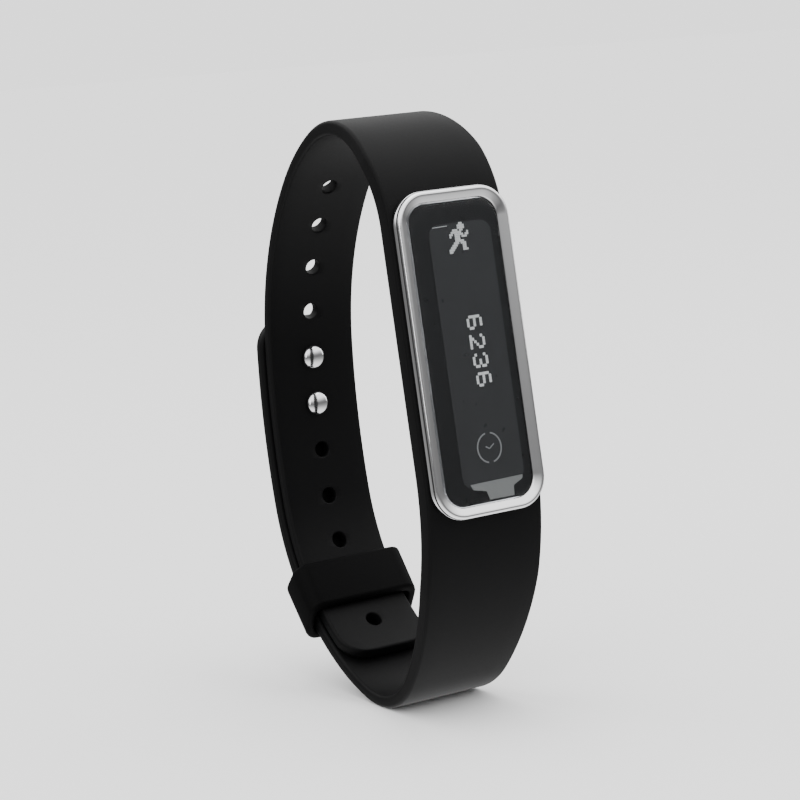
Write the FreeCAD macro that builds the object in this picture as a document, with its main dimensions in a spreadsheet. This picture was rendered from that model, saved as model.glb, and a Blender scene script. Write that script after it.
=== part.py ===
import FreeCAD, Part
import Sketcher
import math
import os

# Fitness tracker band, closed as it is worn: a soft band with a display module at the front,
# a clasp with two studs and a keeper loop at the back.
#
# Frame: +Z up, the wearer's arm along X, the display faces -Y. The origin is under the middle
# of the closed band, on the level of its lowest point.
#
# The band is drawn in the cradle's own frame: its origin is on the outer face of the strap at the
# middle of the module, y runs up along the module and z points out of the display.

os.makedirs("parts", exist_ok=True)
doc = FreeCAD.newDocument("FitnessBand")
V = FreeCAD.Vector
X_AXIS = V(1, 0, 0)

DIMENSIONS = [
    # cradle frame
    ("cradle_depth", -17.614, "Y of the cradle's origin"),
    ("cradle_height", 44.09, "Z of the cradle's origin"),
    ("cradle_tilt", 6.85, "lean of the display, degrees"),
    # strap outline, hole side: straight run, then tangent arcs over the top and down the back
    ("hole_run", 15.28, "straight run beside the module"),
    ("hole_bend_a", 13.83, "outer radius of the first arc"),
    ("hole_turn_a", 108.6443, "sweep of the first arc"),
    ("hole_bend_b", 22.6, ""),
    ("hole_turn_b", 24.0, ""),
    ("hole_bend_c", 36.737, ""),
    ("hole_turn_c", 37.7157, ""),
    ("hole_inner_a", 12.056, "inner radius where the strap gets thinner"),
    ("hole_inner_b", 19.875, ""),
    # strap outline, peg side: straight run, then tangent arcs under the bottom and up the back
    ("peg_run", 13.36, ""),
    ("peg_bend_a", 34.41, ""),
    ("peg_turn_a", 48.51, ""),
    ("peg_bend_b", 11.49, ""),
    ("peg_turn_b", 65.83, ""),
    ("peg_bend_c", 28.04, "the keeper slides round this arc"),
    ("peg_turn_c", 62.3, ""),
    ("peg_bend_d", 88.88, "the clasp lies on this arc"),
    ("peg_turn_d", 13.0, ""),
    ("peg_tip_turn", 15.3, "sweep from the start of that arc to the strap's tip"),
    ("peg_inner_a", 33.083, ""),
    ("peg_inner_b", 9.191, ""),
    ("tail_turn", 52.0, "sweep of the hole strap's tail inside the peg strap"),
    ("flex_turn", 2.0, "sweep of the last arc up to the flex line"),
    # strap section
    ("root_thickness", 2.3, "beside the module"),
    ("strap_thickness", 1.5, "at the back"),
    ("strap_gap", 0.15, "between the two straps where they overlap"),
    ("front_half_width", 7.9, "half width beside the module"),
    ("peg_half_width", 6.5, "half width of the peg strap at the back"),
    ("tail_half_width", 6.15, "half width of the hole strap at the back"),
    ("taper_start", 3.0, "depth behind the face where the straps start to narrow"),
    ("taper_end", 26.0, "depth where they reach their back width"),
    ("strap_edge", 0.6, "rounding of the clasp end's long edges"),
    ("tip_corner", 3.5, "rounding of the strap tips"),
    # holes and clasp
    ("hole_diameter", 3.0, ""),
    ("hole_pitch", 6.05, "along the middle of the strap"),
    ("hole_margin", 5.1, "tail tip to the first hole"),
    ("stud_neck", 2.0, "diameter"),
    ("stud_head", 2.7, "diameter"),
    ("stud_dome", 0.85, "height of the domed head"),
    ("stud_play", 0.08, "under the head"),
    ("plate_length", 10.0, ""),
    ("plate_width", 6.4, ""),
    ("plate_thickness", 0.5, ""),
    ("plate_cover", 0.45, "silicone between the plate and the strap's inner face"),
    ("flex_radius", 87.65, "distance of the flex line from the clasp arc's centre"),
    ("flex_notch", 26.0, "opening angle of the notch at the flex line"),
    ("flex_slit", 0.06, "width of the slit at the flex line"),
    # keeper loop
    ("keeper_length", 7.0, "along the strap"),
    ("keeper_wall", 1.2, ""),
    ("keeper_play", 0.15, "round the straps"),
    ("keeper_turn", 34.2, "where it sits on its arc, degrees from the arc's lower end"),
    ("keeper_corner", 0.9, ""),
    # display module
    ("window_length", 36.8, "opening in the strap"),
    ("window_width", 12.8, ""),
    ("window_corner", 2.6, ""),
    ("bezel_length", 38.0, ""),
    ("bezel_width", 15.2, ""),
    ("bezel_height", 1.7, ""),
    ("bezel_corner", 3.8, ""),
    ("bezel_slope", 0.8, "height of the sloping lip"),
    ("glass_length", 34.9, ""),
    ("glass_width", 12.1, ""),
    ("glass_corner", 2.4, ""),
    ("glass_bottom", 0.9, "height of the glass's underside"),
    ("glass_side", 0.8, "thickness at its edge"),
    ("glass_dome", 38.0, "radius of the curved face across the width"),
    ("gasket_thickness", 0.1, ""),
    ("gasket_width", 0.5, ""),
    ("housing_wall", 0.8, ""),
    ("housing_top", 0.75, ""),
    ("housing_bottom", -4.0, ""),
    ("housing_play", 0.1, "to the strap and the bezel"),
    ("cover_thickness", 0.8, ""),
    ("cover_edge", 0.5, ""),
    ("seal_thickness", 0.2, ""),
    ("seal_width", 0.6, ""),
    ("boss_diameter", 2.2, ""),
    ("boss_height", 2.2, ""),
    ("screw_diameter", 1.0, ""),
    ("screw_head", 1.8, ""),
    ("screw_length", 2.6, ""),
    ("screw_across", 3.9, "half spacing over the width"),
    ("screw_along", 16.3, "half spacing over the length"),
    ("contact_diameter", 1.8, ""),
    ("contact_spacing", 5.0, ""),
    ("screw_head_height", 0.5, ""),
    ("board_length", 34.4, ""),
    ("board_width", 10.6, ""),
    ("board_thickness", 0.6, ""),
    ("board_bottom", -1.55, ""),
    ("board_corner", 1.5, ""),
    ("panel_length", 30.6, ""),
    ("panel_width", 8.4, ""),
    ("panel_thickness", 1.0, ""),
    ("panel_offset", 0.5, "sideways, clear of the driver flex"),
    ("panel_rise", 0.3, "lengthways"),
    ("carrier_length", 34.6, ""),
    ("carrier_width", 10.9, ""),
    ("carrier_corner", 1.8, ""),
    ("panel_play", 0.1, "round the panel in its carrier"),
    ("slot_width", 6.8, "recess in the carrier for the flex tail"),
    ("slot_length", 2.2, ""),
    ("slot_depth", 1.0, ""),
    ("slot_middle", -16.3, ""),
    ("slot_bottom", 0.55, ""),
    ("flex_level", 0.58, "height of the flex tail's underside"),
    ("flex_thickness", 0.12, ""),
    ("flex_wide", 6.6, "width at the panel"),
    ("flex_neck", 3.2, "width of its free end"),
    ("flex_start", -15.2, "where it leaves the panel"),
    ("flex_shoulder", -15.7, ""),
    ("flex_waist", -16.4, ""),
    ("flex_end", -17.25, ""),
    ("touch_diameter", 5.0, ""),
    ("touch_thickness", 0.1, ""),
    ("touch_middle", -11.6, ""),
    ("touch_level", 0.77, "height of the electrode's underside"),
    ("battery_length", 19.0, ""),
    ("battery_width", 9.6, ""),
    ("battery_height", 2.1, ""),
    ("battery_corner", 0.8, ""),
    ("battery_middle", 5.6, ""),
    ("pad_thickness", 0.3, ""),
    ("motor_diameter", 8.0, ""),
    ("motor_height", 2.2, ""),
    ("motor_middle", -9.2, ""),
]

sheet = doc.addObject("Spreadsheet::Sheet", "Dims")
for row, (alias, number, note) in enumerate(DIMENSIONS, start=1):
    sheet.set("A%d" % row, alias)
    sheet.set("B%d" % row, str(number))
    sheet.set("C%d" % row, note)
    sheet.setAlias("B%d" % row, alias)
doc.recompute()


class Size:
    """A length or angle together with the spreadsheet expression that gives it."""

    def __init__(self, text, number):
        self.text = text
        self.number = number

    def __add__(self, other):
        other = plain(other)
        return Size("(%s + %s)" % (self.text, other.text), self.number + other.number)

    def __sub__(self, other):
        other = plain(other)
        return Size("(%s - %s)" % (self.text, other.text), self.number - other.number)

    def __mul__(self, factor):
        return Size("%s * %s" % (self.text, factor), self.number * factor)


def plain(value):
    return value if isinstance(value, Size) else Size(str(value), value)


def dim(alias):
    return Size("Dims." + alias, float(sheet.get(alias)))


def num(alias):
    return float(sheet.get(alias))


def bind(obj, prop, size):
    obj.setExpression(prop, plain(size).text)


# ---- the cradle frame -----------------------------------------------------------------------

cradle_pose = FreeCAD.Placement(
    V(0, num("cradle_depth"), num("cradle_height")),
    FreeCAD.Rotation(X_AXIS, 90 - num("cradle_tilt")))


def at_point(y, z, turn=0.0):
    """Placement of a frame in the strap's side plane, turned about the X axis (degrees)."""
    return cradle_pose.multiply(FreeCAD.Placement(V(0, y, z), FreeCAD.Rotation(X_AXIS, turn)))


# ---- strap paths ----------------------------------------------------------------------------

HOLE_SIDE = 1
PEG_SIDE = -1


def hole_arcs():
    """Outer arcs of the hole strap, from the module to the tail tip: (radius, sweep)."""
    inset = dim("strap_thickness") + dim("strap_gap")
    return [(dim("hole_bend_a"), dim("hole_turn_a")),
            (dim("hole_bend_b"), dim("hole_turn_b")),
            (dim("hole_bend_c"), dim("hole_turn_c")),
            (dim("peg_bend_d") - inset, dim("peg_turn_d")),
            (dim("peg_bend_c") - inset, dim("tail_turn"))]


def peg_arcs():
    """Outer arcs of the peg strap, from the module to its tip: (radius, sweep)."""
    return [(dim("peg_bend_a"), dim("peg_turn_a")),
            (dim("peg_bend_b"), dim("peg_turn_b")),
            (dim("peg_bend_c"), dim("peg_turn_c")),
            (dim("peg_bend_d"), dim("peg_turn_d"))]


def thinned(arcs, first_inner):
    """Inner arcs under the given outer ones; the first radii are stated, the rest are offset."""
    rest = [(radius - dim("strap_thickness"), sweep) for radius, sweep in arcs[len(first_inner):]]
    return [(dim(name), arcs[i][1]) for i, name in enumerate(first_inner)] + rest


def follow(side, start_y, arcs):
    """Centre, radius, start heading (radians) and sweep (radians) of each arc of a strap path."""
    point = (side * start_y, 0.0)
    heading = 0.0 if side == HOLE_SIDE else math.pi
    turn = -side
    steps = []
    for radius, sweep in arcs:
        r = radius.number
        a = math.radians(sweep.number)
        centre = (point[0] - r * turn * math.sin(heading), point[1] + r * turn * math.cos(heading))
        steps.append((centre, r, heading, a))
        heading += turn * a
        point = (centre[0] + r * turn * math.sin(heading), centre[1] - r * turn * math.cos(heading))
    return steps


def on_path(side, step, offset, angle):
    """Point and outward direction on an arc, `offset` inside its outer face."""
    centre, r, heading, _ = step
    turn = -side
    h = heading + turn * angle
    out = (turn * math.sin(h), -turn * math.cos(h))
    return (centre[0] + (r - offset) * out[0], centre[1] + (r - offset) * out[1]), out


HOLE_PATH = follow(HOLE_SIDE, num("hole_run"), hole_arcs())
PEG_PATH = follow(PEG_SIDE, num("peg_run"), peg_arcs())
KEEPER_ARC = PEG_PATH[2]
CLASP_ARC = PEG_PATH[3]


def from_tail(distance):
    """Point and outward direction on the hole strap's middle, `distance` from its tail tip."""
    middle = num("strap_thickness") / 2
    for step in reversed(HOLE_PATH):
        length = (step[1] - middle) * step[3]
        if distance <= length:
            return on_path(HOLE_SIDE, step, middle, step[3] - distance / (step[1] - middle))
        distance -= length
    raise ValueError("distance beyond the strap")


# ---- small builders -------------------------------------------------------------------------

nodes = {}


def keep(name, obj):
    obj.Label = name
    nodes[name] = obj
    return obj


def new_body(name, pose=cradle_pose):
    body = doc.addObject("PartDesign::Body", name)
    body.Placement = pose
    return body


def new_sketch(body, name, role, level=None, shift=None):
    sketch = body.newObject("Sketcher::SketchObject", name)
    plane = [f for f in body.Origin.OriginFeatures if f.Role == role][0]
    sketch.AttachmentSupport = [(plane, "")]
    sketch.MapMode = "FlatFace"
    if level is not None:
        bind(sketch, "AttachmentOffset.Base.z", level)
    for axis, value in zip(("x", "y"), shift or ()):
        bind(sketch, "AttachmentOffset.Base." + axis, value)
    return sketch


def limit(sketch, size, kind, *where):
    """Adds a driving constraint whose value comes from the spreadsheet."""
    number = math.radians(size.number) if kind == "Angle" else size.number
    index = sketch.addConstraint(Sketcher.Constraint(kind, *where, number))
    unit = " * 1 deg" if kind == "Angle" else ""
    sketch.setExpression("Constraints[%d]" % index, "(%s)%s" % (size.text, unit))


def rectangle(sketch, width, length, corner=None):
    """A rectangle centred on the sketch's origin, with rounded corners if `corner` is given."""
    w = width.number / 2
    n = length.number / 2
    r = corner.number if corner else 0.0
    spots = [(-w + r, -n), (w - r, -n), (w, -n + r), (w, n - r),
             (w - r, n), (-w + r, n), (-w, n - r), (-w, -n + r)]
    lines = []
    for k in range(4):
        a = V(*spots[2 * k], 0)
        b = V(*spots[2 * k + 1], 0)
        lines.append(sketch.addGeometry(Part.LineSegment(a, b), False))
    sketch.addConstraint(Sketcher.Constraint("Horizontal", lines[2]))
    sketch.addConstraint(Sketcher.Constraint("Vertical", lines[3]))
    for k in range(4):
        following = lines[(k + 1) % 4]
        if not corner:
            sketch.addConstraint(Sketcher.Constraint("Coincident", lines[k], 2, following, 1))
            continue
        middle = V((w - r) * (1 if k in (0, 1) else -1), (n - r) * (1 if k in (1, 2) else -1), 0)
        first = (k - 1) * math.pi / 2
        circle = Part.Circle(middle, V(0, 0, 1), r)
        arc = sketch.addGeometry(Part.ArcOfCircle(circle, first, first + math.pi / 2), False)
        sketch.addConstraint(Sketcher.Constraint("Tangent", lines[k], 2, arc, 1))
        sketch.addConstraint(Sketcher.Constraint("Tangent", arc, 2, following, 1))
        limit(sketch, corner, "Radius", arc)
    sketch.addConstraint(Sketcher.Constraint("Symmetric", lines[0], 1, lines[0], 2, -2))
    sketch.addConstraint(Sketcher.Constraint("Symmetric", lines[1], 1, lines[1], 2, -1))
    limit(sketch, width, "DistanceX", lines[3], 1, lines[1], 1)
    limit(sketch, length, "DistanceY", lines[0], 1, lines[2], 1)


def pad(body, sketch, height, name, midplane=False):
    feature = body.newObject("PartDesign::Pad", name)
    feature.Profile = sketch
    bind(feature, "Length", height)
    if midplane:
        feature.SideType = "Symmetric"
    doc.recompute()
    return feature


def cut(body, sketch, depth, name, reverse=False, midplane=False):
    """A pocket that must take material away."""
    before = body.Shape.Volume
    feature = body.newObject("PartDesign::Pocket", name)
    feature.Profile = sketch
    bind(feature, "Length", depth)
    feature.Reversed = reverse
    if midplane:
        feature.SideType = "Symmetric"
    doc.recompute()
    if feature.Shape.Volume > before - 1e-6:
        raise ValueError("%s removes nothing" % name)
    return feature


def corner_edges(shape, reach):
    """Upright edges of a plate at least `reach` from its middle."""
    names = []
    for i, edge in enumerate(shape.Edges, start=1):
        a = edge.Vertexes[0].Point
        b = edge.Vertexes[-1].Point
        upright = math.hypot(a.x - b.x, a.y - b.y) < 1e-6 and abs(a.z - b.z) > 1e-3
        if upright and math.hypot(a.x, a.y) > reach:
            names.append("Edge%d" % i)
    return names


def round_edges(body, base, edges, radius, name):
    feature = body.newObject("PartDesign::Fillet", name)
    feature.Base = (base, edges)
    bind(feature, "Radius", radius)
    doc.recompute()
    return feature


def plate(body, name, width, length, level, height, corner=None, shift=None):
    """A flat block with rounded corners, its underside at `level`."""
    sketch = new_sketch(body, name + "_outline", "XY_Plane", level, shift)
    rectangle(sketch, width, length, corner)
    return pad(body, sketch, height, name + "_pad")


def opening(body, name, width, length, level, depth, corner=None, shift=None):
    """A rectangular hole upwards from `level`, with rounded corners."""
    sketch = new_sketch(body, name + "_outline", "XY_Plane", level, shift)
    rectangle(sketch, width, length, corner)
    return cut(body, sketch, depth, name + "_pocket", reverse=True)


def block(name, width, length, height, x, y, z):
    """A box in the cradle frame, centred on (x, y), standing on z."""
    box = doc.addObject("Part::Box", name)
    bind(box, "Width", length)
    bind(box, "Length", width)
    bind(box, "Height", height)
    corner = V(x - plain(width).number / 2, y - plain(length).number / 2, z)
    box.Placement = cradle_pose.multiply(FreeCAD.Placement(corner, FreeCAD.Rotation()))
    return box


def subtract(name, base, tool):
    result = doc.addObject("Part::Cut", name)
    result.Base = base
    result.Tool = tool
    return result


def union(name, shapes):
    result = doc.addObject("Part::MultiFuse", name)
    result.Shapes = shapes
    return result


def group(name, shapes):
    """Separate solids that share one node."""
    doc.recompute()
    result = doc.addObject("Part::Feature", name)
    result.Shape = Part.makeCompound([shape.Shape.copy() for shape in shapes])
    return result


# ---- soft band ------------------------------------------------------------------------------

def arc_run(sketch, line, side, start, arcs):
    """Adds tangent arcs after a straight line and returns the free end (geometry, vertex)."""
    point = start
    heading = 0.0 if side == HOLE_SIDE else math.pi
    turn = -side
    last = (line, 2)
    near, far = (1, 2) if turn > 0 else (2, 1)
    for radius, sweep in arcs:
        r = radius.number
        a = math.radians(sweep.number)
        centre = V(point[0] - r * turn * math.sin(heading), point[1] + r * turn * math.cos(heading), 0)
        first = heading - turn * math.pi / 2
        low, high = sorted((first, first + turn * a))
        circle = Part.Circle(centre, V(0, 0, 1), r)
        index = sketch.addGeometry(Part.ArcOfCircle(circle, low, high), False)
        sketch.addConstraint(Sketcher.Constraint("Tangent", last[0], last[1], index, near))
        limit(sketch, radius, "Radius", index)
        limit(sketch, sweep, "Angle", index)
        heading += turn * a
        point = (centre.x + r * turn * math.sin(heading), centre.y - r * turn * math.cos(heading))
        last = (index, far)
    return last, point


def strap_outline(sketch, side, run, outer, inner):
    """Closed side view of one strap: straight root, outer and inner arcs, end cap."""
    thick = dim("root_thickness")
    length = side * run.number
    root = -thick.number
    top = sketch.addGeometry(Part.LineSegment(V(0, 0, 0), V(length, 0, 0)), False)
    back = sketch.addGeometry(Part.LineSegment(V(0, 0, 0), V(0, root, 0)), False)
    under = sketch.addGeometry(Part.LineSegment(V(0, root, 0), V(length, root, 0)), False)
    for first, second in (((top, 1), (-1, 1)), ((back, 1), (top, 1)), ((under, 1), (back, 2))):
        sketch.addConstraint(Sketcher.Constraint("Coincident", *first, *second))
    for line in (top, under):
        sketch.addConstraint(Sketcher.Constraint("Horizontal", line))
        limit(sketch, run, "Distance", line)
    sketch.addConstraint(Sketcher.Constraint("Vertical", back))
    limit(sketch, thick, "Distance", back)
    outer_end, outer_point = arc_run(sketch, top, side, (length, 0.0), outer)
    inner_end, inner_point = arc_run(sketch, under, side, (length, root), inner)
    cap = sketch.addGeometry(Part.LineSegment(V(*outer_point, 0), V(*inner_point, 0)), False)
    sketch.addConstraint(Sketcher.Constraint("Coincident", cap, 1, *outer_end))
    sketch.addConstraint(Sketcher.Constraint("Coincident", cap, 2, *inner_end))


def narrow(body, name, half_width):
    """Narrows the straps towards the back: a curved cut on one side, mirrored."""
    front = num("front_half_width")
    back = half_width.number
    start = -num("taper_start")
    end = -num("taper_end")
    reach = 60.0
    clear = 12.0
    sketch = new_sketch(body, name + "_outline", "XZ_Plane")
    depth = start - end
    gain = front - back
    radius = (depth * depth + gain * gain) / (2 * gain)
    circle = Part.Circle(V(back + radius, end, 0), V(0, 0, 1), radius)
    sweep = math.asin(depth / radius)
    arc = sketch.addGeometry(Part.ArcOfCircle(circle, math.pi - sweep, math.pi), False)
    corners = [V(back, end, 0), V(back, end - reach, 0), V(clear, end - reach, 0),
               V(clear, start, 0), V(front, start, 0)]
    lines = [sketch.addGeometry(Part.LineSegment(a, b), False) for a, b in zip(corners, corners[1:])]
    for first, second in zip(lines, lines[1:]):
        sketch.addConstraint(Sketcher.Constraint("Coincident", first, 2, second, 1))
    for line, kind in zip(lines, ("Vertical", "Horizontal", "Vertical", "Horizontal")):
        sketch.addConstraint(Sketcher.Constraint(kind, line))
    sketch.addConstraint(Sketcher.Constraint("Tangent", lines[0], 1, arc, 2))
    sketch.addConstraint(Sketcher.Constraint("Coincident", lines[-1], 2, arc, 1))
    limit(sketch, half_width, "DistanceX", -1, 1, lines[0], 1)
    limit(sketch, dim("front_half_width"), "DistanceX", -1, 1, lines[-1], 2)
    limit(sketch, dim("taper_end"), "DistanceY", lines[0], 1, -1, 1)
    limit(sketch, dim("taper_start"), "DistanceY", lines[-1], 2, -1, 1)
    limit(sketch, Size(str(reach), reach), "Distance", lines[0])
    limit(sketch, Size(str(clear), clear), "DistanceX", -1, 1, lines[1], 2)
    pocket = cut(body, sketch, Size("200", 200.0), name + "_cut", midplane=True)
    mirror = body.newObject("PartDesign::Mirrored", name + "_mirror")
    mirror.Originals = [pocket]
    plane = [f for f in body.Origin.OriginFeatures if f.Role == "YZ_Plane"][0]
    mirror.MirrorPlane = (plane, [""])
    body.Tip = mirror
    doc.recompute()


def strap_blank(name, side, run, outer, inner, half_width):
    body = new_body(name)
    sketch = new_sketch(body, name + "_side_view", "YZ_Plane")
    strap_outline(sketch, side, run, outer, inner)
    pad(body, sketch, dim("front_half_width") * 2, name + "_pad", midplane=True)
    narrow(body, name + "_taper", half_width)
    return body


def round_tip(body, name, path):
    """Rounds the two corners at the free end of the hole strap."""
    step = path[-1]
    tip = [on_path(HOLE_SIDE, step, offset, step[3])[0] for offset in (0.0, num("strap_thickness"))]
    names = []
    for i, edge in enumerate(body.Tip.Shape.Edges, start=1):
        ends = [vertex.Point for vertex in edge.Vertexes]
        if abs(ends[0].x - ends[-1].x) > 1e-3:
            continue
        spots = [min(math.hypot(end.y - y, end.z - z) for y, z in tip) for end in ends]
        if max(spots) < 1e-3 and edge.Length > 0.5:
            names.append("Edge%d" % i)
    round_edges(body, body.Tip, names, dim("tip_corner"), name)


def hole_pose(index):
    """Placement of one strap hole: its z points out of the strap, its origin is mid-thickness."""
    point, out = from_tail(num("hole_margin") + index * num("hole_pitch"))
    return at_point(point[0], point[1], math.degrees(math.atan2(out[1], out[0])) - 90)


HOLE_COUNT = 11
STUD_HOLES = (5, 6)


def make_holes():
    cylinders = []
    for i in range(HOLE_COUNT):
        cylinder = doc.addObject("Part::Cylinder", "hole_tool_%d" % i)
        bind(cylinder, "Radius", dim("hole_diameter") * 0.5)
        bind(cylinder, "Height", dim("strap_thickness") * 2)
        down = FreeCAD.Placement(V(0, 0, -num("strap_thickness")), FreeCAD.Rotation())
        cylinder.Placement = hole_pose(i).multiply(down)
        cylinders.append(cylinder)
    return union("hole_tools", cylinders)


def make_band():
    """Hole strap, cradle and the root of the peg strap: one moulding."""
    hole_outer = hole_arcs()
    hole_side = strap_blank("hole_side", HOLE_SIDE, dim("hole_run"), hole_outer,
                            thinned(hole_outer, ["hole_inner_a", "hole_inner_b"]),
                            dim("tail_half_width"))
    round_tip(hole_side, "tail_corners", HOLE_PATH)
    peg_outer = peg_arcs()
    peg_outer[3] = (peg_outer[3][0], dim("flex_turn"))
    peg_side = strap_blank("peg_side", PEG_SIDE, dim("peg_run"), peg_outer,
                           thinned(peg_outer, ["peg_inner_a", "peg_inner_b"]),
                           dim("peg_half_width"))
    window = new_body("window_tool")
    plate(window, "window", dim("window_width"), dim("window_length"), plain(-6.0), plain(8.0),
          dim("window_corner"))
    both = union("band_blank", [hole_side, peg_side])
    holed = subtract("band_holed", both, make_holes())
    keep("silicone_band", subtract("band", holed, window))


def clasp_pose(angle=0.0):
    """Frame at the centre of the clasp's arc: y points at the arc `angle` degrees along it."""
    centre, _, heading, _ = CLASP_ARC
    out = math.degrees(heading) - 90
    return at_point(centre[0], centre[1], out + angle)


def make_peg_end():
    """Free end of the peg strap, beyond the flex line, with the cavity of the moulded-in clasp."""
    body = new_body("peg_end_blank", clasp_pose(num("flex_turn")))
    sketch = new_sketch(body, "peg_end_side_view", "YZ_Plane")
    outer = num("peg_bend_d")
    inner = outer - num("strap_thickness")
    pivot = num("flex_radius")
    slit = num("flex_slit") / pivot
    end = math.radians(num("peg_tip_turn") - num("flex_turn"))
    notch = slit + (outer - pivot) * math.tan(math.radians(num("flex_notch"))) / outer

    def polar(radius, angle):
        return V(radius * math.cos(angle), radius * math.sin(angle), 0)

    centre = V(0, 0, 0)
    up = V(0, 0, 1)
    low_arc = sketch.addGeometry(Part.ArcOfCircle(Part.Circle(centre, up, inner), slit, end), False)
    cap = sketch.addGeometry(Part.LineSegment(polar(inner, end), polar(outer, end)), False)
    top_arc = sketch.addGeometry(Part.ArcOfCircle(Part.Circle(centre, up, outer), notch, end), False)
    slope = sketch.addGeometry(Part.LineSegment(polar(outer, notch), polar(pivot, slit)), False)
    wall = sketch.addGeometry(Part.LineSegment(polar(pivot, slit), polar(inner, slit)), False)
    joins = [(low_arc, 2, cap, 1), (cap, 2, top_arc, 2), (top_arc, 1, slope, 1),
             (slope, 2, wall, 1), (wall, 2, low_arc, 1)]
    for join in joins:
        sketch.addConstraint(Sketcher.Constraint("Coincident", *join))
    for arc in (low_arc, top_arc):
        sketch.addConstraint(Sketcher.Constraint("Coincident", arc, 3, -1, 1))
    limit(sketch, dim("peg_bend_d"), "Radius", top_arc)
    limit(sketch, dim("peg_bend_d") - dim("strap_thickness"), "Radius", low_arc)
    pad(body, sketch, dim("peg_half_width") * 2, "peg_end_pad", midplane=True)
    tip = body.Tip.Shape
    corners = []
    long_edges = []
    for i, edge in enumerate(tip.Edges, start=1):
        a = edge.Vertexes[0].Point
        b = edge.Vertexes[-1].Point
        at_tip = abs(math.atan2(a.z, a.y) - end) < 1e-4 and abs(math.atan2(b.z, b.y) - end) < 1e-4
        if at_tip and abs(a.x - b.x) < 1e-6:
            corners.append("Edge%d" % i)
    feature = round_edges(body, body.Tip, corners, dim("tip_corner"), "peg_tip_corners")
    for i, edge in enumerate(feature.Shape.Edges, start=1):
        p = edge.valueAt((edge.FirstParameter + edge.LastParameter) / 2)
        if abs(math.hypot(p.y, p.z) - outer) < 1e-3 and math.atan2(p.z, p.y) > notch + 1e-4:
            long_edges.append("Edge%d" % i)
    round_edges(body, feature, long_edges, dim("strap_edge"), "peg_end_edges")
    return body


def make_clasp():
    """Clasp plate and two domed studs; the strap end gets a cavity of the same shape."""
    play = dim("strap_thickness") + dim("strap_gap")
    lift = num("strap_thickness") / 2 + num("strap_gap") + num("plate_cover")
    necks = []
    studs = []
    for i in STUD_HOLES:
        profile = new_body("stud_%d" % i, hole_pose(i))
        under = num("strap_thickness") / 2 + num("stud_play")
        sketch = new_sketch(profile, "stud_profile_%d" % i, "XZ_Plane")
        neck = num("stud_neck") / 2
        head = num("stud_head") / 2
        dome = num("stud_dome")
        rim = dome * 0.35
        top = lift + num("plate_thickness")
        crown = (head * head + (dome - rim) ** 2) / (2 * (dome - rim))
        points = [V(0, top, 0), V(neck, top, 0), V(neck, -under, 0), V(head, -under, 0),
                  V(head, -under - rim, 0)]
        for a, b in zip(points, points[1:]):
            sketch.addGeometry(Part.LineSegment(a, b), False)
        middle = V(0, -under - dome + crown, 0)
        side_angle = math.atan2(points[-1].y - middle.y, head)
        sketch.addGeometry(Part.ArcOfCircle(Part.Circle(middle, V(0, 0, 1), crown),
                                            -math.pi / 2, side_angle), False)
        sketch.addGeometry(Part.LineSegment(V(0, -under - dome, 0), points[0]), False)
        for first, second in ((0, 1), (1, 2), (2, 3)):
            sketch.addConstraint(Sketcher.Constraint("Coincident", first, 2, second, 1))
        sketch.addConstraint(Sketcher.Constraint("Coincident", 3, 2, 4, 2))
        sketch.addConstraint(Sketcher.Constraint("Coincident", 4, 1, 5, 1))
        sketch.addConstraint(Sketcher.Constraint("Coincident", 5, 2, 0, 1))
        for line, kind in ((0, "Horizontal"), (1, "Vertical"), (2, "Horizontal"), (3, "Vertical")):
            sketch.addConstraint(Sketcher.Constraint(kind, line))
        limit(sketch, dim("stud_neck") * 0.5, "DistanceX", -1, 1, 1, 1)
        limit(sketch, dim("stud_head") * 0.5, "DistanceX", -1, 1, 2, 2)
        turn = profile.newObject("PartDesign::Revolution", "stud_turned_%d" % i)
        turn.Profile = sketch
        turn.ReferenceAxis = (sketch, ["V_Axis"])
        turn.Angle = 360
        doc.recompute()
        studs.append(profile)
        tool = doc.addObject("Part::Cylinder", "neck_tool_%d" % i)
        bind(tool, "Radius", dim("stud_neck") * 0.5)
        bind(tool, "Height", play + dim("plate_cover") + dim("plate_thickness"))
        tool.Placement = hole_pose(i).multiply(
            FreeCAD.Placement(V(0, 0, -num("strap_thickness") / 2), FreeCAD.Rotation()))
        necks.append(tool)
    # the plate lies across both studs, square to the line half way between them
    low = hole_pose(STUD_HOLES[0]).Base
    high = hole_pose(STUD_HOLES[1]).Base
    middle = (low + high) * 0.5
    turn = hole_pose(STUD_HOLES[0]).Rotation.slerp(hole_pose(STUD_HOLES[1]).Rotation, 0.5)
    bar = doc.addObject("Part::Box", "plate_bar")
    bind(bar, "Length", dim("plate_width"))
    bind(bar, "Width", dim("plate_length"))
    bind(bar, "Height", dim("plate_thickness"))
    corner = V(-num("plate_width") / 2, -num("plate_length") / 2, lift)
    bar.Placement = FreeCAD.Placement(middle, turn).multiply(FreeCAD.Placement(corner, FreeCAD.Rotation()))
    tools = union("neck_tools", necks)
    keep("clasp_plate", subtract("clasp_plate_holed", bar, tools))
    doc.recompute()
    keep("clasp_studs", group("clasp_stud_pair", studs))
    cavity = union("clasp_cavity", [bar, tools])
    keep("peg_strap_end", subtract("peg_end", make_peg_end(), cavity))


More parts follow.
